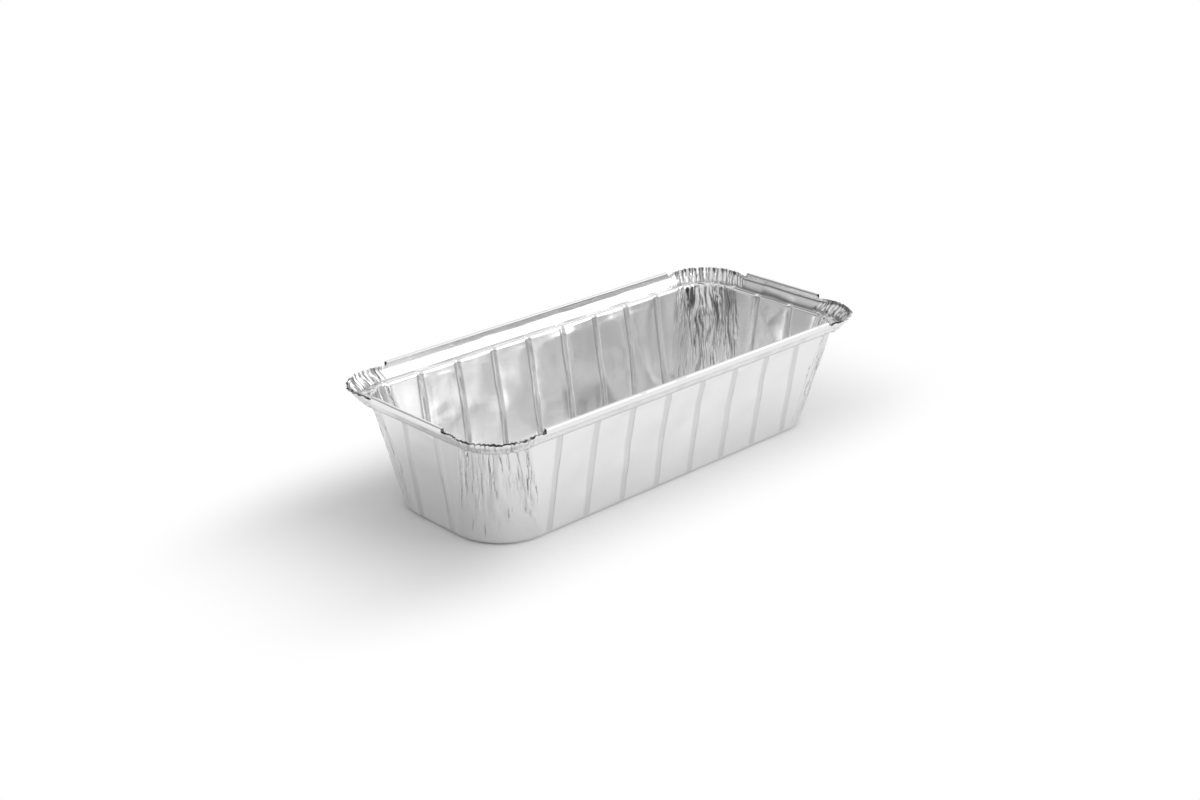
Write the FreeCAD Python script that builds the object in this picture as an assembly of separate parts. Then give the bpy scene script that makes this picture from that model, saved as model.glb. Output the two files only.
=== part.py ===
import FreeCAD, Part
import math
import os

Vector = FreeCAD.Vector

# A loaf-shaped foil tray pressed from one sheet, standing on its base.
# X runs along its length, Z is up, and the origin is the middle of the base.
# All lengths are in millimetres and all angles in degrees.

# Overall size and gauge
rim_length = 222.0
rim_width = 98.8
height = 53.7
sheet = 0.10

# Hem rolled outwards on the four straight sides
hem_thickness = 1.9
hem_drop = 2.1

# Flange between the lid ledge and the hem
flange_height = 6.85
flange_lean = 1.76
flange_lean_height = 4.2
flange_flare = 1.2

# Ledge that a lid rests on, and the shoulder below it
ledge_flat = 2.2
shoulder_radius = 1.2

# Wall and base
wall_draft = 9.1
base_radius = 3.5

# Plan radii of the four corners, from the base up to the raw edge
base_corner = 20.0
mouth_corner = 18.0
ledge_corner = 17.5
rim_corner = 17.4

# Crimped gathers: how far they run past the corner, their number and their depth
rim_run = 9.0
mouth_run = 2.0
base_run = 0.3
gather_folds = 9
rim_fold_depth = 0.42
wall_fold_depth = 0.34
ledge_fold_depth = 0.22
fold_unevenness = 0.45

# Ribs pressed outwards in the walls
rib_width = 3.4
rib_crest = 0.8
rib_depth = 0.9
rib_end_slope = 2.2
rib_foot_drop = 1.2
long_rib_pitch = 20.0
short_rib_pitch = 19.5

# Depth that tool solids reach past the faces they join or cut
overreach = 0.6


def direction(heading):
    """Unit step in the section plane, outwards and up, for a heading above the horizontal."""
    return math.cos(math.radians(heading)), math.sin(math.radians(heading))


# Section of the underside, as steps outwards from the rim's outside and heights above the table
wall_heading = 90.0 - wall_draft
half_turn = wall_heading / 2.0
flange_heading = math.degrees(math.atan2(flange_lean_height, flange_lean))
edge_out = sheet - hem_thickness
edge_height = height - hem_thickness / 2.0
ledge_height = height - flange_height
ledge_edge_out = edge_out - flange_lean
shoulder_out = ledge_edge_out - ledge_flat


def shoulder_point(heading):
    """Point of the shoulder's round where the sheet has the given heading."""
    along, up = direction(heading)
    return (shoulder_out - shoulder_radius * up,
            ledge_height - shoulder_radius * (1.0 - along))


mouth_out, mouth_height = shoulder_point(wall_heading)
foot_height = base_radius * (1.0 - direction(wall_heading)[0])
foot_out = mouth_out - (mouth_height - foot_height) * math.tan(math.radians(wall_draft))
base_out = foot_out - base_radius * direction(wall_heading)[1]


def base_point(heading):
    """Point of the round between base and wall where the sheet has the given heading."""
    along, up = direction(heading)
    return base_out + base_radius * up, base_radius * (1.0 - along)


class Level:
    """One closed outline round the tray, on the underside of the sheet."""

    def __init__(self, place, headings, corner, run, crease, fold_out=0.0, fold_up=0.0, flare=0.0):
        self.out, self.z = place
        self.headings = headings
        self.corner = corner
        self.run = run
        self.crease = crease
        self.fold_out = fold_out
        self.fold_up = fold_up
        self.flare = flare

    def raised(self, gauge):
        """The same outline on a skin that lies the given gauge above the underside."""
        first, second = (direction(h) for h in self.headings)
        mitre = gauge / (1.0 + first[0] * second[0] + first[1] * second[1])
        step_out = -(first[1] + second[1]) * mitre
        step_up = (first[0] + second[0]) * mitre
        return Level((self.out + step_out, self.z + step_up), self.headings,
                     self.corner + step_out, self.run, self.crease,
                     self.fold_out, self.fold_up, self.flare)


def smooth_level(place, heading, corner, run, crease, **folds):
    return Level(place, (heading, heading), corner, run, crease, **folds)


foot_corner = base_corner + foot_out - base_out
belly_share = 0.5
belly_place = tuple(a + (b - a) * belly_share
                    for a, b in zip((foot_out, foot_height), (mouth_out, mouth_height)))
wall_folds = dict(fold_out=wall_fold_depth)
ledge_folds = dict(fold_out=wall_fold_depth, fold_up=ledge_fold_depth)

levels = [
    smooth_level((base_out, 0.0), 0.0, base_corner, base_run, 0),
    smooth_level(base_point(half_turn), half_turn,
                 base_corner + base_point(half_turn)[0] - base_out, base_run, 0),
    smooth_level((foot_out, foot_height), wall_heading, foot_corner, base_run, 0),
    smooth_level(belly_place, wall_heading, (foot_corner + mouth_corner) / 2.0,
                 (base_run + mouth_run) / 2.0, 1, **wall_folds),
    smooth_level((mouth_out, mouth_height), wall_heading, mouth_corner, mouth_run, 2, **wall_folds),
    smooth_level(shoulder_point(half_turn), half_turn,
                 mouth_corner + shoulder_point(half_turn)[0] - mouth_out, mouth_run, 2, **ledge_folds),
    smooth_level((shoulder_out, ledge_height), 0.0,
                 mouth_corner + shoulder_out - mouth_out, mouth_run, 2, **ledge_folds),
    Level((ledge_edge_out, ledge_height), (0.0, flange_heading), ledge_corner, rim_run, 3,
          fold_out=wall_fold_depth, fold_up=ledge_fold_depth),
    Level((edge_out, ledge_height + flange_lean_height), (flange_heading, 90.0),
          rim_corner, rim_run, 4, fold_out=rim_fold_depth, flare=flange_flare / 2.0),
    smooth_level((edge_out, edge_height), 90.0, rim_corner, rim_run, 5,
                 fold_out=rim_fold_depth, flare=flange_flare),
]

# Bands between outlines: three outlines make the round of the base, two make a straight run
bands = [(0, 1, 2)] + [(row, row + 1) for row in range(2, len(levels) - 1)]


def uneven(number):
    """An even-looking scatter between 0 and 1, the same on every run."""
    golden = 0.6180339887
    return math.modf(number * golden)[0]


steps = 2 * gather_folds


def fold_place(quarter, step, row):
    """How far round the gathered corner a crease lies, from 0 to 1."""
    if row == 0 or step in (0, steps):
        return step / steps
    shift = (uneven(step + 7 * quarter + 3 * row) - 0.5) * fold_unevenness
    return (step + shift) / steps


def fold_swing(quarter, step, row):
    """Side and share of the full fold depth that a crease is pushed to."""
    if step in (0, steps):
        return 0.0
    side = 1.0 if step % 2 else -1.0
    return side * (1.0 - fold_unevenness * uneven(5 * step + 11 * quarter + row))


def corner_point(level, quarter, step):
    """Point of a gathered corner in the first quarter, before it is mirrored round."""
    straight_x = rim_length / 2.0 + level.out - level.corner
    straight_y = rim_width / 2.0 + level.out - level.corner
    arc = level.corner * math.pi / 2.0
    share = fold_place(quarter, step, level.crease)
    way = share * (arc + 2.0 * level.run) - level.run
    turn = min(max(way / level.corner, 0.0), math.pi / 2.0)
    before = min(way, 0.0)
    after = max(way - arc, 0.0)
    normal = Vector(math.cos(turn), math.sin(turn), 0.0)
    bulge = level.flare * min(1.0, 4.0 * min(share, 1.0 - share))
    swing = fold_swing(quarter, step, level.crease)
    centre = Vector(straight_x - after, straight_y + before, level.z)
    return (centre + normal * (level.corner + bulge + level.fold_out * swing)
            + Vector(0.0, 0.0, level.fold_up * swing))


def outline(level):
    """All points of one outline, in order round the tray."""
    points = []
    for quarter, (side_x, side_y) in enumerate(((1, 1), (-1, 1), (-1, -1), (1, -1))):
        order = range(steps + 1) if side_x == side_y else range(steps, -1, -1)
        for step in order:
            p = corner_point(level, quarter, step)
            points.append(Vector(p.x * side_x, p.y * side_y, p.z))
    return points


def loop_of(points):
    return Part.makePolygon(points + points[:1])


def closed_body(gauge, lid_rise=0.0):
    """Solid under one skin of the sheet, closed by flat faces at the base and at the raw edge."""
    skin = [level.raised(gauge) for level in levels]
    rings = [outline(level) for level in skin]
    body_bands = list(bands)
    if lid_rise:
        rings.append([p + Vector(0.0, 0.0, lid_rise) for p in rings[-1]])
        body_bands.append((len(rings) - 2, len(rings) - 1))
    faces = [Part.Face(loop_of(rings[0])), Part.Face(loop_of(rings[-1]))]
    for band in body_bands:
        for i in range(len(rings[0])):
            first, second = ([rings[row][k] for row in band] for k in (i - 1, i))
            faces.append(strip(first, second))
    shell = Part.makeShell(faces)
    shell.sewShape()
    return Part.makeSolid(shell)


def strip(first, second):
    """Face between two neighbouring columns of points: rolled flat along a side, ruled in a gather."""
    shift = second[0] - first[0]
    if all((b - a).isEqual(shift, 1e-7) for a, b in zip(first, second)):
        return column_edge(first).extrude(shift)
    return Part.makeRuledSurface(column_edge(first), column_edge(second))


def column_edge(points):
    if len(points) == 3:
        return Part.Arc(*points).toShape()
    return Part.makeLine(*points)


def rib(gauge, length):
    """One rib with its foot at the origin, rising along Z and standing out along X."""
    flank = math.atan2(rib_depth, (rib_width - rib_crest) / 2.0)
    end = math.atan2(rib_depth, rib_end_slope)
    root = rib_width / 2.0 - gauge * math.tan(flank / 2.0)
    crest = rib_crest / 2.0 - gauge * math.tan(flank / 2.0)
    foot = gauge * math.tan(end / 2.0)
    ridge = Part.makeWedge(-root, -gauge, foot, foot + rib_end_slope, -crest,
                           root, rib_depth - gauge, length, length, crest)
    tongue = Part.makeBox(2.0 * root, overreach, length - foot,
                          Vector(-root, -gauge - overreach, foot))
    shape = ridge.fuse(tongue)
    shape.rotate(Vector(), Vector(0, 0, 1), -90.0)
    return shape


def rib_places(straight_half, pitch):
    """Positions along one wall, as many as fit on its straight part at the foot."""
    count = 1 + int((2.0 * straight_half - rib_width) // pitch)
    return [(i - (count - 1) / 2.0) * pitch for i in range(count)]


def ribs(gauge):
    """Every rib of the four walls, each leaning with its wall and rising into the ledge."""
    lean_along, lean_up = direction(wall_heading)
    start_out = foot_out - rib_foot_drop * lean_along
    start_height = foot_height - rib_foot_drop * lean_up
    length = (ledge_height + overreach - start_height) / lean_up
    shape = rib(gauge, length)
    shape.rotate(Vector(), Vector(0, 1, 0), wall_draft)
    walls = [(0.0, rim_length, rim_width, short_rib_pitch), (90.0, rim_width, rim_length, long_rib_pitch)]
    found = []
    for turn, across, along, pitch in walls:
        for place in rib_places(along / 2.0 + foot_out - foot_corner, pitch):
            for half_turned in (0.0, 180.0):
                copy = shape.copy()
                copy.translate(Vector(across / 2.0 + start_out, place, start_height))
                copy.rotate(Vector(), Vector(0, 0, 1), turn + half_turned)
                found.append(copy)
    return found


def hem(length):
    """Roll of the sheet over the raw edge of one side, running along Y about the origin."""
    outer = hem_thickness / 2.0
    inner = outer - sheet
    bottom = -hem_drop

    def at(out, up):
        return Vector(out, -length / 2.0, up)

    path = [
        Part.Arc(at(-outer, 0.0), at(0.0, outer), at(outer, 0.0)).toShape(),
        Part.makeLine(at(outer, 0.0), at(outer, bottom)),
        Part.makeLine(at(outer, bottom), at(inner, bottom)),
        Part.makeLine(at(inner, bottom), at(inner, 0.0)),
        Part.Arc(at(inner, 0.0), at(0.0, inner), at(-inner, 0.0)).toShape(),
        Part.makeLine(at(-inner, 0.0), at(-outer, 0.0)),
    ]
    return Part.Face(Part.Wire(path)).extrude(Vector(0.0, length, 0.0))


def hems():
    """The four hems, each between the gathered corners."""
    found = []
    for turn, across, along in ((0.0, rim_length, rim_width), (90.0, rim_width, rim_length)):
        length = along + 2.0 * (edge_out - rim_corner - rim_run)
        for half_turned in (0.0, 180.0):
            piece = hem(length)
            piece.translate(Vector((across - hem_thickness) / 2.0, 0.0, edge_height))
            piece.rotate(Vector(), Vector(0, 0, 1), turn + half_turned)
            found.append(piece)
    return found


def foil_tray():
    outside = closed_body(0.0).multiFuse(ribs(0.0))
    inside = closed_body(sheet, overreach).multiFuse(ribs(sheet))
    return outside.cut(inside).multiFuse(hems()).Solids[0]


os.makedirs("parts", exist_ok=True)
foil_tray().exportStep("parts/foil_tray.step")
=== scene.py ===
import math

import bpy
import numpy as np
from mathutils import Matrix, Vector


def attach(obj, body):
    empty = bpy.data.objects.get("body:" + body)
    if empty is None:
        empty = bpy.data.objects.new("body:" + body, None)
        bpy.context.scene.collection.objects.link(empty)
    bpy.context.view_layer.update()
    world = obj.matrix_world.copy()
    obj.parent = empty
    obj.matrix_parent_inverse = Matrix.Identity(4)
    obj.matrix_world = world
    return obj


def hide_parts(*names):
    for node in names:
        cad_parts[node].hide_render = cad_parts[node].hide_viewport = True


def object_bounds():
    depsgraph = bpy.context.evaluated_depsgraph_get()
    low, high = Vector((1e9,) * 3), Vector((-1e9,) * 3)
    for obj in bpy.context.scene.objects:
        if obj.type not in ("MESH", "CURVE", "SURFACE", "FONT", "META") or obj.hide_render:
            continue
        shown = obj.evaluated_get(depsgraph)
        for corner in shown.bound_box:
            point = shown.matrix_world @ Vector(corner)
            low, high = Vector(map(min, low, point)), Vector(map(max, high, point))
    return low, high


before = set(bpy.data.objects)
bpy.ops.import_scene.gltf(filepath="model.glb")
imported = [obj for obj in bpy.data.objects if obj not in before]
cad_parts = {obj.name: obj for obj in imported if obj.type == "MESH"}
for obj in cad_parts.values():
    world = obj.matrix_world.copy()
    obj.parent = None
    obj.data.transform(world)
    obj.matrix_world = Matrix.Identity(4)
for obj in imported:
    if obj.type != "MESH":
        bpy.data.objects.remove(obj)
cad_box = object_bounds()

# The foil is worked out in millimetres, with the names of the part's source, and scaled at the end
MM = 0.001
LENGTH, WIDTH, HEIGHT = ((high - low) / MM for low, high in zip(*cad_box))
SHEET = 0.10
HEM, HEM_DROP = 1.9, 2.1
FLANGE, LEAN, LEAN_UP, FLARE = 6.85, 1.76, 4.2, 1.2
LEDGE, SHOULDER = 2.2, 1.2
DRAFT, BASE_ROUND = math.radians(9.1), 3.5
BASE_CORNER, MOUTH_CORNER, LEDGE_CORNER, RIM_CORNER = 20.0, 18.0, 17.5, 17.4
BASE_RUN, MOUTH_RUN, RIM_RUN = 0.3, 2.0, 9.0
RIB, RIB_CREST, RIB_DEPTH, RIB_END = 3.4, 0.8, 0.9, 2.2
LONG_RIBS = [(i - 3.5) * 20.0 for i in range(8)]
SHORT_RIBS = [-9.75, 9.75]

# The part of each side whose columns of points stand still while the corners change with height
LONG_HALF, SHORT_HALF = 72.5, 11.65

# Places of the section's bends: how far out from the tray's outline, and how high
WALL = math.pi / 2 - DRAFT
EDGE_OUT, EDGE_Z, LEDGE_Z = SHEET - HEM, HEIGHT - HEM / 2, HEIGHT - FLANGE
LEDGE_OUT = EDGE_OUT - LEAN
SHOULDER_OUT = LEDGE_OUT - LEDGE
MOUTH_OUT = SHOULDER_OUT - SHOULDER * math.sin(WALL)
MOUTH_Z = LEDGE_Z - SHOULDER * (1 - math.cos(WALL))
FOOT_Z = BASE_ROUND * (1 - math.cos(WALL))
SLOPE = (MOUTH_Z - FOOT_Z) / math.cos(DRAFT)
FOOT_OUT = MOUTH_OUT - SLOPE * math.sin(DRAFT)
BASE_OUT = FOOT_OUT - BASE_ROUND * math.sin(WALL)
BASE_HALF = WIDTH / 2 + BASE_OUT
FOOT_CORNER = BASE_CORNER + FOOT_OUT - BASE_OUT
EDGE_UP = EDGE_Z - LEDGE_Z

# Corners follow their side: far, left, near and right as the camera sees them
FAR, LEFT, NEAR, RIGHT = range(4)
# How much smaller the radius of the walls is at each corner than the part's, at the foot and the mouth
TIGHTER_FOOT = {FAR: 0.0, LEFT: 2.0, NEAR: 0.0, RIGHT: 2.6}
TIGHTER_MOUTH = {FAR: 0.0, LEFT: 0.4, NEAR: -0.3, RIGHT: 2.2}

# Small shapes that the solid doesn't have
BOW = 0.6
BASE_HOLLOW = 0.40
PINCHES = 28
WALL_ARC, RIM_ARC = 33.0, 45.0
ROLL, ROLL_POWER = HEM / 2 - SHEET / 2, 0.55
BOX_MARGIN = 0.6 * SHEET
SHARP_ANGLE = math.radians(34.0)

# Tones of the foil: its bright face, the painted shade of its sharp creases and other shaded places, and how
# far its duller outer face goes towards that dark tone
BRIGHT, DARK = (0.95, 0.95, 0.95, 1), (0.05, 0.05, 0.05, 1)
OUTER_DULLNESS = 0.15
ROUGHNESS = (0.10, 0.24)


def mix(a, b, t):
    return a + (b - a) * t


def smooth(x):
    x = np.clip(x, 0.0, 1.0)
    return x * x * (3 - 2 * x)


# Rows of points along the section, from the middle of the base to the raw edge
BASE, SIDE, TOP, BRIM = range(4)


class Row:
    def __init__(self, zone, out, z, heading, corner, run, along):
        self.zone, self.out, self.z, self.heading = zone, out, z, heading
        self.corner, self.run, self.along = corner, run, along


rows = []
for share in (0.12, 0.3, 0.5, 0.68, 0.84, 0.95):
    rows.append(Row(BASE, BASE_OUT, 0.0, 0.0, BASE_CORNER, BASE_RUN, (1 - share) * BASE_HALF))
for i in range(6):
    turn = WALL * i / 5
    step = BASE_ROUND * math.sin(turn)
    rows.append(Row(SIDE, BASE_OUT + step, BASE_ROUND * (1 - math.cos(turn)), turn,
                    BASE_CORNER + step, BASE_RUN, BASE_ROUND * (turn - WALL)))
low_rows = [0.7, 1.4, 2.3]
high_rows = [SLOPE - 3.0, SLOPE - 2.2, SLOPE - 1.4, SLOPE - 0.7, SLOPE]
for way in low_rows + list(np.linspace(3.6, SLOPE - 4.2, 23)) + high_rows:
    share = way / SLOPE
    rows.append(Row(SIDE, FOOT_OUT + way * math.sin(DRAFT), FOOT_Z + way * math.cos(DRAFT), WALL,
                    mix(FOOT_CORNER, MOUTH_CORNER, share), mix(BASE_RUN, MOUTH_RUN, share), way))
for i in (1, 2, 3):
    turn = WALL * (1 - i / 3)
    step = SHOULDER * (math.sin(WALL) - math.sin(turn))
    rows.append(Row(TOP, MOUTH_OUT + step, LEDGE_Z - SHOULDER * (1 - math.cos(turn)), turn,
                    MOUTH_CORNER + step, MOUTH_RUN, -3.0 + i))
for i in (1, 2, 3):
    share = i / 3
    rows.append(Row(TOP, mix(SHOULDER_OUT, LEDGE_OUT, share), LEDGE_Z, 0.0,
                    mix(MOUTH_CORNER + SHOULDER_OUT - MOUTH_OUT, LEDGE_CORNER, share),
                    mix(MOUTH_RUN, RIM_RUN, share), LEDGE * share))
for i in range(1, 5):
    share = i / 4
    rows.append(Row(BRIM, mix(LEDGE_OUT, EDGE_OUT, share), LEDGE_Z + LEAN_UP * share,
                    math.atan2(LEAN_UP, LEAN), mix(LEDGE_CORNER, RIM_CORNER, share),
                    RIM_RUN, LEAN_UP * share))
for i in range(1, 4):
    share = i / 3
    rows.append(Row(BRIM, EDGE_OUT, mix(LEDGE_Z + LEAN_UP, EDGE_Z, share), math.pi / 2,
                    RIM_CORNER, RIM_RUN, mix(LEAN_UP, EDGE_UP, share)))

# Columns of points round the tray: a side, then the corner after it, straight at both its ends
SIDES = [("x", 1), ("y", 1), ("x", -1), ("y", -1)]
REST, GATHER = 7, 122
CORNER = GATHER + 2 * REST


def side_marks(ribs, half):
    """Places of the columns on one side, close together on the ribs."""
    profile = np.array([-2.1, -1.7, -1.2, -0.6, 0.0, 0.6, 1.2, 1.7, 2.1])
    marks = [-half]
    for rib in ribs:
        gap = rib + profile[0] - marks[-1]
        if gap > 3.0:
            marks += [marks[-1] + gap * k / 4 for k in (1, 2, 3)]
        marks += list(rib + profile)
    gap = half - marks[-1]
    if gap > 1.5:
        marks.append(half - gap / 2)
    marks.append(half)
    kept = [m for m in marks if abs(m) < half - 0.05]
    return np.array([-half] + kept + [half])


columns = []
for side, (axis, sign) in enumerate(SIDES):
    marks = side_marks(SHORT_RIBS, SHORT_HALF) if axis == "x" else side_marks(LONG_RIBS, LONG_HALF)
    for mark in (marks if side in (0, 3) else marks[::-1]):
        columns.append((side, False, float(mark)))
    for step in range(1, CORNER):
        columns.append((side, True, step))
NROW, NCOL = len(rows), len(columns)
RAW_EDGE = (NROW - 1) * NCOL


def gather_columns(corner):
    """Numbers of the columns in a corner's gathers, both ends included."""
    return [j for j, c in enumerate(columns) if c[0] == corner and c[1] and REST <= c[2] <= CORNER - REST]


def plan_point(row, column):
    """Plan position, outward direction and share of the corner's gathers, which is -1 on a side."""
    side, in_corner, value = column
    half_x, half_y = LENGTH / 2 + row.out, WIDTH / 2 + row.out
    if not in_corner:
        axis, sign = SIDES[side]
        if axis == "x":
            return sign * half_x, value, sign, 0.0, -1.0
        return value, sign * half_y, 0.0, sign, -1.0
    radius = row.corner
    if row.zone == SIDE:
        height_share = min(max(row.along / SLOPE, 0.0), 1.0)
        radius -= mix(TIGHTER_FOOT[side], TIGHTER_MOUTH[side], height_share)
    straight_x, straight_y = half_x - radius, half_y - radius
    from_short = side in (FAR, NEAR)
    still = (SHORT_HALF, LONG_HALF) if from_short else (LONG_HALF, SHORT_HALF)
    straight = (straight_y, straight_x) if from_short else (straight_x, straight_y)
    free = [max(s - t, 0.0) for s, t in zip(straight, still)]
    run = [min(row.run, f) for f in free]
    arc = radius * math.pi / 2
    if value < REST:
        way, share = mix(-free[0], -run[0], value / REST), 0.0
    elif value > CORNER - REST:
        way, share = arc + mix(run[1], free[1], (value - CORNER + REST) / REST), 1.0
    else:
        share = (value - REST) / GATHER
        way = mix(-run[0], arc + run[1], share)
    turn = min(max(way / radius, 0.0), math.pi / 2)
    before, after = min(way, 0.0), max(way - arc, 0.0)
    if from_short:
        nx, ny = math.cos(turn), math.sin(turn)
        x, y = straight_x - after + radius * nx, straight_y + before + radius * ny
    else:
        nx, ny = math.sin(turn), math.cos(turn)
        x, y = straight_x + before + radius * nx, straight_y - after + radius * ny
    flip_x = -1 if side in (LEFT, NEAR) else 1
    flip_y = -1 if side in (NEAR, RIGHT) else 1
    return x * flip_x, y * flip_y, nx * flip_x, ny * flip_y, share


plan = np.array([[plan_point(row, column) for column in columns] for row in rows])
X, Y, NX, NY, SHARE = (plan[:, :, k].copy() for k in range(5))
Z = np.repeat(np.array([row.z for row in rows])[:, None], NCOL, axis=1)
zone = np.array([row.zone for row in rows])[:, None]
out = np.array([row.out for row in rows])[:, None]
along = np.array([row.along for row in rows])[:, None]
heading = np.array([row.heading for row in rows])[:, None]
side_of = np.array([c[0] for c in columns])[None, :]
in_corner = np.array([c[1] for c in columns])[None, :]
place = np.array([0.0 if c[1] else c[2] for c in columns])[None, :]
gathered = in_corner & (SHARE > 0.0) & (SHARE < 1.0)

# Rows of the base are smaller copies of its outline
X *= np.where(zone == BASE, 1 - along / BASE_HALF, 1.0)
Y *= np.where(zone == BASE, 1 - along / BASE_HALF, 1.0)


# Scattered values for the small shapes of the foil
def field(seed, u, v, straight=False):
    """Values between -1 and 1 that run from one random value of a lattice to the next."""
    lattice = np.random.default_rng(seed).uniform(-1, 1, (512, 512))
    u, v = np.broadcast_arrays(u, v)
    iu, iv = np.floor(u).astype(int), np.floor(v).astype(int)
    fu, fv = u - iu, v - iv
    if not straight:
        fu, fv = smooth(fu), smooth(fv)
    a, b = lattice[iu % 512, iv % 512], lattice[(iu + 1) % 512, iv % 512]
    c, d = lattice[iu % 512, (iv + 1) % 512], lattice[(iu + 1) % 512, (iv + 1) % 512]
    return mix(mix(a, b, fu), mix(c, d, fu), fv)


def crest(gap, half_width):
    """1 on a crease and 0 from half_width away, with straight flanks."""
    return np.clip(1.0 - np.abs(gap) / half_width, 0.0, 1.0)


def stretch(value, low, high, ramp):
    """1 from low to high, falling to 0 over the ramp inside both ends."""
    return smooth((value - low) / ramp) * smooth((high - value) / ramp)


# Gathers of the walls: soft accordion folds with sharp pinched creases between them
up = along / SLOPE
ends = np.minimum(SHARE, 1.0 - SHARE)
gather = np.where(gathered, smooth(9.0 * ends + 0.15), 0.0)
track = SHARE * WALL_ARC + side_of * 97.0
drift = 1.5 * field(11, track / 7.0, along / 14.0) + 0.5 * field(12, track / 3.0, along / 6.0)
depth_share = np.where(up < 0.0, 0.22 * np.clip(1.0 + up * SLOPE / 4.0, 0.0, 1.0),
                       mix(0.22, 1.0, np.clip((up - 0.02) / 0.5, 0.0, 1.0)))
accordion = (0.46 * field(21, (track + drift) / 1.7, along / 15.0, True)
             + 0.26 * field(22, (track + 1.6 * drift) / 0.85, along / 8.0, True)
             + 0.30 * field(23, (track + drift) / 4.4, along / 20.0)) * depth_share * gather

# Painted shade: the gathers of the walls are darkened a little, and more along each pinched crease
painted_shade = 0.09 * gather * (zone == SIDE) * smooth(1.0 + up * 4.0)
pinched = np.zeros((NROW, NCOL))


def pinch(corner, path, low, high, depth, half_width, shade):
    """Fold and painted shade of a sharp crease: path gives its share of the corner at each height."""
    gap = (SHARE - path) * WALL_ARC + 0.5 * field(13, up * 13.0 + 40.0 * path, corner)
    here = stretch(up, low, high, 0.10) * gathered * (side_of == corner) * (zone == SIDE)
    fold = -depth * crest(gap, half_width) + 0.45 * depth * crest(np.abs(gap) - 1.7 * half_width, half_width)
    return fold * here, shade * crest(gap, 0.8 * half_width) * here


for corner in range(4):
    chance = np.random.default_rng(300 + corner)
    for k in range(3 * PINCHES):
        long_one = k < PINCHES
        middle = ((k % PINCHES) + 0.5 + chance.uniform(-0.5, 0.5)) / PINCHES
        lean = chance.uniform(-2.0, 2.0) / PINCHES
        bend = chance.uniform(-0.4, 0.4) / PINCHES
        swing = bend * np.sin(2 * math.pi * (up * chance.uniform(0.8, 2.4) + chance.uniform()))
        if long_one:
            high = chance.choice([1.06, chance.uniform(0.7, 1.0)])
            low = high - chance.uniform(0.2, 0.6)
        else:
            high = chance.uniform(0.15, 0.9)
            low = high - chance.uniform(0.10, 0.30)
        depth = chance.uniform(0.12, 0.36)
        half_width = chance.uniform(0.26, 0.44)
        painted_darkness = chance.uniform(0.15, 0.70)
        fold, shade = pinch(corner, middle + lean * (up - 0.5) + swing, max(low, -0.02), high,
                            depth, half_width, painted_darkness)
        pinched += fold
        painted_shade = np.maximum(painted_shade, shade)

# Single folds that stand out: one outwards, with the painted shade cleared from it so that it stays bright,
# and two inwards with painted dark shade
bends = 0.035 * np.sin(2 * math.pi * (up * 1.5 + 0.2))
fold, shade = pinch(NEAR, 0.97 - 0.17 * up + bends, -0.02, 0.62, -0.50, 1.1, 1.0)
pinched += fold
painted_shade *= 1.0 - shade
for corner, path, low, high, painted_darkness in ((NEAR, 0.80 + 0.14 * up, 0.42, 1.02, 0.7),
                                          (RIGHT, 0.03 + 0.13 * up, 0.30, 0.86, 0.9)):
    fold, shade = pinch(corner, path, low, high, 0.45, 0.6, painted_darkness)
    pinched += fold
    painted_shade = np.maximum(painted_shade, shade)

# Crumpled ledge of the corners, with painted shade in its hollows, and painted dark streaks of reflection on
# the inside of their walls
crumple = (0.34 * field(31, track / 1.3, along / 1.1, True)
           + 0.20 * field(32, track / 0.6, along / 0.6, True)) * gather
ledge_share = np.clip((out - SHOULDER_OUT) / LEDGE, 0.0, 1.0)
jagged = 0.34 * field(33, track / 0.9, along / 3.0, True) * gather * ledge_share
painted_shade = np.where((zone == TOP) & gathered, np.clip(-2.6 * crumple - 0.35, 0.0, 0.85), painted_shade)
painted_streak = np.clip(2.8 * field(25, (track + 1.5 * drift) / 0.6, along / 9.0, True) - 0.60, 0.0, 0.92)
painted_streak = painted_streak * mix(0.35, 1.0, np.clip(up, 0.0, 1.0)) * smooth(5.0 * ends)
inner_painted_shade = np.where((zone == SIDE) & gathered, painted_streak, 0.0)


def pleats(seed):
    """In and out by turns, with creases one to four columns apart."""
    chance = np.random.default_rng(seed)
    at, turn, places, heights = 0, 1, [0], [0.0]
    while at < GATHER:
        at += int(chance.choice([1, 2, 2, 3, 4]))
        places.append(min(at, GATHER))
        heights.append(turn * chance.uniform(0.3, 1.0))
        turn = -turn
    heights[-1] = 0.0
    return np.interp(np.arange(GATHER + 1), places, heights) + chance.uniform(-0.22, 0.22, GATHER + 1)


# Pleated flange of the corners, with painted shade along the pleats' inward creases and a light painted
# shade over the whole inner face
pleat_low, pleat_high = np.zeros((1, NCOL)), np.zeros((1, NCOL))
for corner in range(4):
    found = gather_columns(corner)
    pleat_low[0, found], pleat_high[0, found] = pleats(100 + corner), pleats(140 + corner)
brim_share = np.clip(along / EDGE_UP, 0.0, 1.0)
pleat = mix(pleat_low, pleat_high, smooth(brim_share * 1.2))
rim_fold = (pleat * mix(0.40, 0.54, brim_share)
            + 0.18 * field(34, track / 5.0, 2.5) * brim_share) * smooth(5.0 * ends) * gathered
flare = FLARE * smooth(4.0 * ends) * gathered * np.clip((along - 1.2) / (EDGE_UP - 1.2), 0.0, 1.0)
painted_shade = np.where((zone == BRIM) & gathered, np.clip(-1.2 * pleat - 0.75, 0.0, 0.5), painted_shade)
pleat_shade = np.clip(-1.1 * pleat + 0.16, 0.04, 0.85) * smooth(8.0 * ends)
inner_painted_shade = np.where((zone == BRIM) & gathered, pleat_shade, inner_painted_shade)
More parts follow.
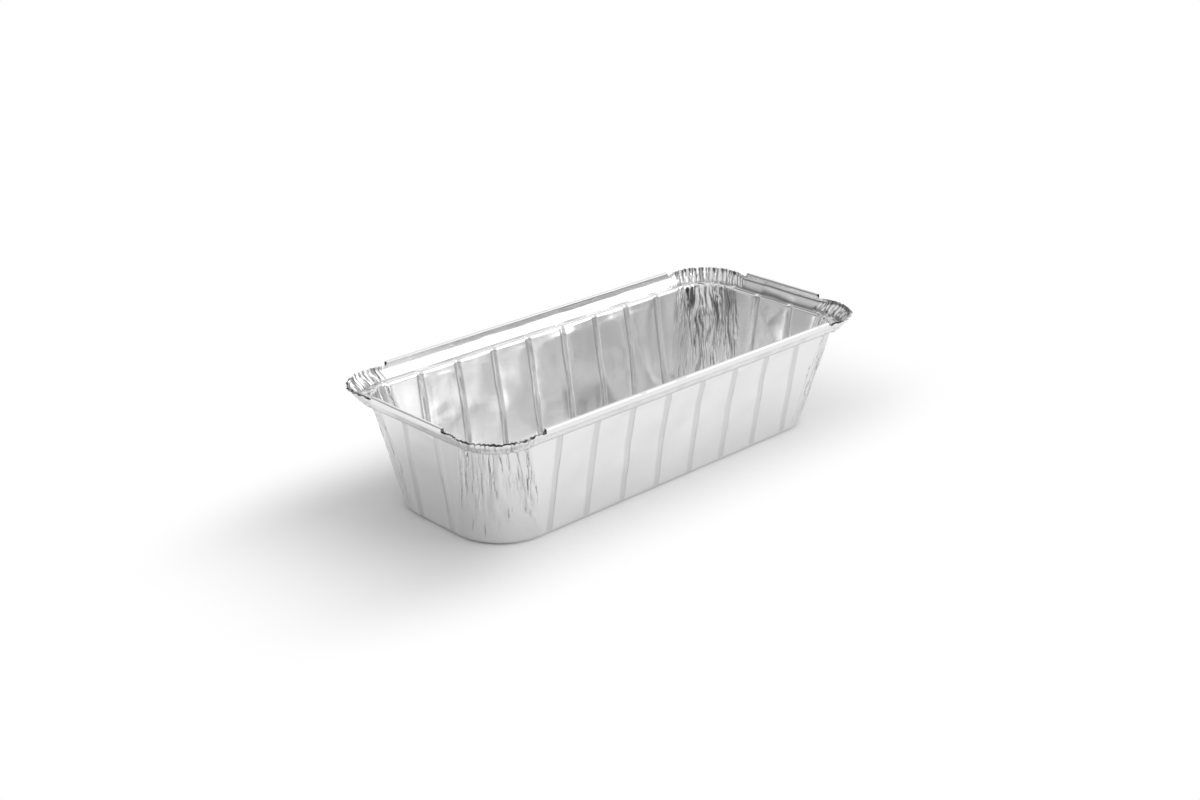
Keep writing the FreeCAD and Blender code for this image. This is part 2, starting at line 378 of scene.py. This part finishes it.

# Ribs of the sides, each darkened over its whole width by painted shade
rib_shape, rib_shade = np.zeros((1, NCOL)), np.zeros((1, NCOL))
for j, (side, is_corner, value) in enumerate(columns):
    if not is_corner:
        gap = min(abs(value - rib) for rib in (SHORT_RIBS if SIDES[side][0] == "x" else LONG_RIBS))
        rib_shape[0, j] = smooth((RIB / 2 + 0.15 - gap) / (RIB / 2 - RIB_CREST / 2 + 0.15))
        rib_shade[0, j] = smooth((RIB / 2 + 0.25 - gap) / 0.6)
rib_start = smooth((along + 1.4) / RIB_END)
rib_fold = RIB_DEPTH * rib_shape * rib_start
painted_shade = np.maximum(painted_shade, 0.20 * rib_shade * (zone == SIDE) * rib_start)

# Painted shade line under the flange, and a faint painted shade hatching of the straight ledge and flange
# that stands in for uneven reflection
painted_shade = np.maximum(painted_shade, 0.36 * (np.abs(out - LEDGE_OUT) < 0.01) * (zone == TOP))
half_of = np.array([SHORT_HALF if SIDES[c[0]][0] == "x" else LONG_HALF for c in columns])[None, :]
panel = np.where(in_corner, 0.0, smooth((half_of - np.abs(place)) / 3.0))
around = place + side_of * 211.0
painted_hatch = np.clip(0.22 * field(47, around / 2.6 + along / 1.5, along / 2.2), 0.0, 0.16)
painted_shade = np.maximum(painted_shade, painted_hatch * (zone >= TOP) * panel)

# Soft waves of the flat panels, a shallow hollow in each, and the long walls bowed inwards
wave = (0.36 * field(41, around / 9.0, along / 15.0) + 0.24 * field(42, around / 4.5, along / 8.0)
        + 0.08 * field(43, around / 2.4, along / 4.0))
wave = wave * panel * smooth((along + 3.0) / 6.0) * smooth((SLOPE + 0.5 - along) / 4.0)
pillow_line = SLOPE - 2.6 - 1.4 * field(45, around / 5.0, 0.0)
pillow = -0.11 * smooth((pillow_line - along) / 1.6) * smooth((along - pillow_line + 6.0) / 5.0)
wave += pillow * panel * (1.0 - rib_shape)
bow = -BOW * np.sin(math.pi * np.clip(up, 0.0, 1.0)) * smooth((half_of - np.abs(place)) / 14.0)
bow = np.where(in_corner, 0.0, bow * (half_of == LONG_HALF))

shift = np.where(zone == SIDE, accordion + pinched + rib_fold + wave + bow, 0.0)
brim_wave = 0.10 * panel * field(44, around / 7.0, along / 3.0)
shift = np.where(zone == BRIM, rim_fold + flare + brim_wave, shift)
shift -= SHEET / 2
X += shift * np.sin(heading) * NX
Y += shift * np.sin(heading) * NY
Z -= shift * np.cos(heading)

# Rib tops run into the ledge as notches
notch = RIB_DEPTH * rib_shape * (zone == TOP) * np.clip((LEDGE_OUT - 0.6 - out) / (LEDGE - 0.6), 0.0, 1.0)
X += (notch + jagged * (zone == TOP)) * NX
Y += (notch + jagged * (zone == TOP)) * NY
Z += np.where(zone == TOP, crumple + 0.10 * panel * field(46, around / 6.0, along / 2.0), 0.0)

# Base a little hollow and wavy, raw edge uneven and lower beside the hems
dents = 0.24 * field(51, X / 13.0 + 50, Y / 9.0 + 50) + 0.12 * field(52, X / 6.0 + 90, Y / 5.0 + 90)
hollow = (BASE_HOLLOW + dents * smooth((BASE_HALF - along) / 12.0)) * smooth(along / 7.0)
Z += np.where(zone == BASE, hollow, 0.0)
ragged = -0.30 * (1 + field(61, track / 0.8, 3.3, True)) * smooth(5.0 * ends) * gathered
dip = -0.8 * smooth(1.0 - ends * RIM_ARC / 6.0) * smooth(ends * RIM_ARC / 0.8) * gathered
Z += np.where(zone == BRIM, (ragged + dip) * np.clip((along - LEAN_UP) / (EDGE_UP - LEAN_UP), 0.0, 1.0), 0.0)

# One sheet of faces with a fan in the middle of the base, and how dark each of its two sides is painted: the
# outer face's duller tone plus painted shade
points = np.stack([X, Y, Z], -1).reshape(-1, 3).tolist() + [[0.0, 0.0, BASE_HOLLOW + SHEET / 2]]
shades = mix(OUTER_DULLNESS, 1.0, painted_shade).reshape(-1).tolist() + [OUTER_DULLNESS]
inner_shades = np.maximum(painted_shade, inner_painted_shade).reshape(-1).tolist() + [0.0]
faces = [(NROW * NCOL, (j + 1) % NCOL, j) for j in range(NCOL)]
for i in range(NROW - 1):
    for j in range(NCOL):
        a, b = i * NCOL + j, i * NCOL + (j + 1) % NCOL
        faces.append((a, b, b + NCOL, a + NCOL))


def add_strip(found, profile):
    """Rows of points past the raw edge: profile lists each row's way out and up and its shade by column."""
    last = [RAW_EDGE + j for j in found]
    for outs, ups, shade in profile:
        row = []
        for k, j in enumerate(found):
            x, y, z = points[RAW_EDGE + j]
            points.append([x + NX[-1, j] * outs[k], y + NY[-1, j] * outs[k], z + ups[k]])
            shades.append(float(shade[k]))
            inner_shades.append(float(shade[k]))
            row.append(len(points) - 1)
        for k in range(len(found) - 1):
            faces.append((last[k], last[k + 1], row[k + 1], row[k]))
        last = row


# Hem over the raw edge of each side, rolled outwards, down and back towards the flange
roll = []
for angle in np.linspace(0, math.pi, 10)[1:-1]:
    across, rise = math.cos(angle), math.sin(angle)
    roll.append((ROLL * (1 - math.copysign(abs(across) ** ROLL_POWER, across)), ROLL * rise ** ROLL_POWER))
roll += [(2 * ROLL, 0.1), (2 * ROLL - 0.05, -0.9), (2 * ROLL - 0.2, -1.7),
         (2 * ROLL - 0.75, -HEM_DROP), (0.55, -2.5)]
# Painted shade on the first two rows of the roll, inside its fold; its last five rows take a duller tone
# about like the outer face
ROLL_SHADES = [0.45, 0.35] + [0.0] * 6 + [0.13] * 5
for side in range(4):
    before = (side - 1) % 4
    lead = [j for j, c in enumerate(columns) if c[0] == before and c[1] and c[2] >= CORNER - REST]
    own = [j for j, c in enumerate(columns) if c[0] == side and (not c[1] or c[2] <= REST)]
    found = lead + own
    edge_sum = np.array(points)[[RAW_EDGE + j for j in found]].sum(1)
    profile = []
    for k, (step_out, step_up) in enumerate(roll):
        dent = 0.05 * field(71, edge_sum / 9.0 + 60.0, 0.35 * k + side * 9.0)
        outs = step_out + (dent - 0.22) * min(1.0, step_out)
        profile.append((outs, np.full(len(found), step_up), np.full(len(found), ROLL_SHADES[k])))
    add_strip(found, profile)

# Torn lip of the corners, curled outwards and painted dark as the shade between its crumples
for corner in range(4):
    found = gather_columns(corner)
    s = SHARE[-1, found]
    fade = smooth(12.0 * np.minimum(s, 1 - s))
    rough = field(81, s * 34.0 + corner * 50.0, 4.4, True)
    width = (0.75 + 0.40 * rough) * mix(0.05, 1.0, fade)
    shade = np.clip(0.85 + 0.6 * field(82, s * 21.0 + corner * 50.0, 1.2), 0.25, 0.98) * fade
    add_strip(found, [(0.30 * width, -0.16 * width, shade), (0.65 * width, -0.42 * width, shade),
                      (width, -0.75 * width, shade)])

# The sheet, given its thickness and kept inside the part's box
points = np.array(points)
for axis, low, high in ((0, -LENGTH / 2, LENGTH / 2), (1, -WIDTH / 2, WIDTH / 2), (2, 0.0, HEIGHT)):
    points[:, axis] = np.clip(points[:, axis], low + BOX_MARGIN, high - BOX_MARGIN)
mesh = bpy.data.meshes.new("foil_tray_skin")
mesh.from_pydata((points * MM).tolist(), [], faces)
mesh.update()
tray = bpy.data.objects.new("tray_foil", mesh)
bpy.context.collection.objects.link(tray)
mesh.polygons.foreach_set("use_smooth", [True] * len(mesh.polygons))
thick = tray.modifiers.new("sheet", "SOLIDIFY")
thick.thickness = SHEET * MM
thick.offset = 0.0
bpy.context.view_layer.objects.active = tray
tray.select_set(True)
bpy.ops.object.modifier_apply(modifier="sheet")
# Painted shade of both faces, kept on the points for the material
painted_darkness = tray.data.attributes.new("painted_shade", "FLOAT", "POINT")
painted_darkness.data.foreach_set("value", shades + inner_shades)
tray.data.set_sharp_from_angle(angle=SHARP_ANGLE)


def new_material(name):
    """Material with its tree of nodes left empty."""
    material = bpy.data.materials.new(name)
    material.use_nodes = True
    material.node_tree.nodes.clear()
    return material, material.node_tree


def operate(tree, kind, operation, values):
    """Node of plain or vector maths; a value is a number, a vector or what another node puts out."""
    node = tree.nodes.new(kind)
    node.operation = operation
    for slot, value in zip(node.inputs, values):
        if isinstance(value, bpy.types.NodeSocket):
            tree.links.new(value, slot)
        else:
            slot.default_value = value
    return node


def maths(tree, operation, *values):
    return operate(tree, "ShaderNodeMath", operation, values).outputs["Value"]


def vector_maths(tree, operation, *values):
    """A product or a length comes out as a number, anything else as a vector."""
    number = operation in ("DOT_PRODUCT", "LENGTH")
    return operate(tree, "ShaderNodeVectorMath", operation, values).outputs["Value" if number else "Vector"]


def smooth_step(tree, value, low, high):
    """From 0 to 1 while the value goes from low to high."""
    node = tree.nodes.new("ShaderNodeMapRange")
    node.interpolation_type = "SMOOTHSTEP"
    node.inputs["From Min"].default_value = low
    node.inputs["From Max"].default_value = high
    tree.links.new(value, node.inputs["Value"])
    return node.outputs[0]


# Foil: bright rolled aluminium with an uneven gloss, darkened by painted shade in its sharp creases and
# other shaded places
foil, tree = new_material("rolled_foil")
nodes, links = tree.nodes, tree.links
output = nodes.new("ShaderNodeOutputMaterial")
shader = nodes.new("ShaderNodeBsdfPrincipled")
shader.inputs["Metallic"].default_value = 1.0
links.new(shader.outputs[0], output.inputs[0])
spot = nodes.new("ShaderNodeTexCoord")
stretched = nodes.new("ShaderNodeMapping")
stretched.inputs["Scale"].default_value = (1.0, 1.0, 0.35)
links.new(spot.outputs["Object"], stretched.inputs[0])
grain = nodes.new("ShaderNodeTexNoise")
grain.inputs["Scale"].default_value = 260.0
grain.inputs["Detail"].default_value = 4.0
links.new(stretched.outputs[0], grain.inputs["Vector"])
# The painted shade on the points darkens the base colour
shade_attribute = nodes.new("ShaderNodeAttribute")
shade_attribute.attribute_name = "painted_shade"
tone = nodes.new("ShaderNodeMix")
tone.data_type = "RGBA"
tone.inputs["A"].default_value = BRIGHT
tone.inputs["B"].default_value = DARK
links.new(shade_attribute.outputs["Fac"], tone.inputs["Factor"])
links.new(tone.outputs["Result"], shader.inputs["Base Color"])
gloss = nodes.new("ShaderNodeMapRange")
gloss.inputs["To Min"].default_value, gloss.inputs["To Max"].default_value = ROUGHNESS
links.new(grain.outputs[0], gloss.inputs["Value"])
links.new(gloss.outputs[0], shader.inputs["Roughness"])
bump = nodes.new("ShaderNodeBump")
bump.inputs["Strength"].default_value = 0.10
bump.inputs["Distance"].default_value = 0.0003
links.new(grain.outputs[0], bump.inputs["Height"])
links.new(bump.outputs[0], shader.inputs["Normal"])
tray.data.materials.append(foil)

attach(tray, "root")
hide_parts("foil_tray")

# Floor: pale paint round the tray, reaching further past its ends, running out to plain white
FLOOR_MOVED = (-0.008, 0.008, 0)
FLOOR_SCALE = (0.6, 1.2, 1.0)
FLOOR_REACH = 0.065
bpy.ops.mesh.primitive_circle_add(vertices=64, radius=6.0, fill_type="NGON", location=FLOOR_MOVED)
floor = bpy.context.object
floor.name = "floor"
paper, tree = new_material("floor_white")
nodes, links = tree.nodes, tree.links
output = nodes.new("ShaderNodeOutputMaterial")
paint = nodes.new("ShaderNodeBsdfDiffuse")
paint.inputs["Color"].default_value = (0.92, 0.92, 0.92, 1)
white = nodes.new("ShaderNodeEmission")
white.inputs["Strength"].default_value = 1.0
blend = nodes.new("ShaderNodeMixShader")
links.new(paint.outputs[0], blend.inputs[1])
links.new(white.outputs[0], blend.inputs[2])
links.new(blend.outputs[0], output.inputs[0])
spot = nodes.new("ShaderNodeTexCoord")
from_middle = vector_maths(tree, "ABSOLUTE", spot.outputs["Object"])
base_half_size = ((LENGTH / 2 + BASE_OUT) * MM, (WIDTH / 2 + BASE_OUT) * MM, 0.0)
beyond = vector_maths(tree, "SUBTRACT", from_middle, base_half_size)
outside = vector_maths(tree, "MAXIMUM", beyond, (0.0, 0.0, 0.0))
distance = vector_maths(tree, "LENGTH", vector_maths(tree, "MULTIPLY", outside, FLOOR_SCALE))
to_white = smooth_step(tree, distance, 0.0, FLOOR_REACH)
path = nodes.new("ShaderNodeLightPath")
seen = path.outputs["Is Camera Ray"]
for other in ("Is Glossy Ray", "Is Transmission Ray"):
    seen = maths(tree, "MAXIMUM", seen, path.outputs[other])
links.new(maths(tree, "MULTIPLY", to_white, seen), blend.inputs[0])
floor.data.materials.append(paper)

# Studio: pale overhead but for a dim patch, and low down pale only towards two windows
world = bpy.data.worlds.new("studio")
bpy.context.scene.world = world
world.use_nodes = True
sky = world.node_tree
sky.nodes.clear()
output = sky.nodes.new("ShaderNodeOutputWorld")
back = sky.nodes.new("ShaderNodeBackground")
sky.links.new(back.outputs[0], output.inputs[0])
direction = sky.nodes.new("ShaderNodeTexCoord").outputs["Generated"]


def sky_share(towards, low, high):
    """How far the sky's direction leans towards a vector, from 0 to 1."""
    return smooth_step(sky, vector_maths(sky, "DOT_PRODUCT", direction, towards), low, high)


pale = sky_share((0.0, 0.0, 1.0), 0.14, 0.41)
for window in (sky_share((0.20, -0.98, 0.0), 0.25, 0.75), sky_share((0.72, 0.69, 0.0), 0.40, 0.80)):
    pale = maths(sky, "MAXIMUM", pale, window)
dim = maths(sky, "MULTIPLY_ADD", sky_share((-0.166, 0.621, 0.766), 0.86, 0.98), -0.85, 1.0)
level = sky.nodes.new("ShaderNodeMapRange")
level.inputs["To Min"].default_value = 0.14
level.inputs["To Max"].default_value = 1.00
sky.links.new(maths(sky, "MULTIPLY", pale, dim), level.inputs["Value"])
sky.links.new(level.outputs[0], back.inputs["Strength"])

# One large lamp to the right of the camera
LAMP_SIZE, LAMP_RADIANCE = (1.6, 1.2), 1.05
lamp_data = bpy.data.lights.new("side", "AREA")
lamp_data.shape = "RECTANGLE"
lamp_data.size, lamp_data.size_y = LAMP_SIZE
lamp_data.energy = LAMP_RADIANCE * math.pi * LAMP_SIZE[0] * LAMP_SIZE[1]
lamp = bpy.data.objects.new("side", lamp_data)
bpy.context.collection.objects.link(lamp)
lamp.location = (0.95, -1.05, 0.75)
lamp_aim = Vector((0, 0, 0.05)) - Vector((0.95, -1.05, 0.75))
lamp.rotation_euler = lamp_aim.to_track_quat("-Z", "Y").to_euler()

# Camera at the photograph's angle
camera_data = bpy.data.cameras.new("camera")
camera_data.sensor_width = 36.0
camera_data.lens = 51.11
camera = bpy.data.objects.new("camera", camera_data)
bpy.context.collection.objects.link(camera)
camera.location = (-0.4721, -0.4781, 0.3052)
camera.rotation_euler = Vector((0.6438, 0.6627, -0.3826)).to_track_quat("-Z", "Y").to_euler()
bpy.context.scene.camera = camera
bpy.context.scene.view_settings.view_transform = "Standard"
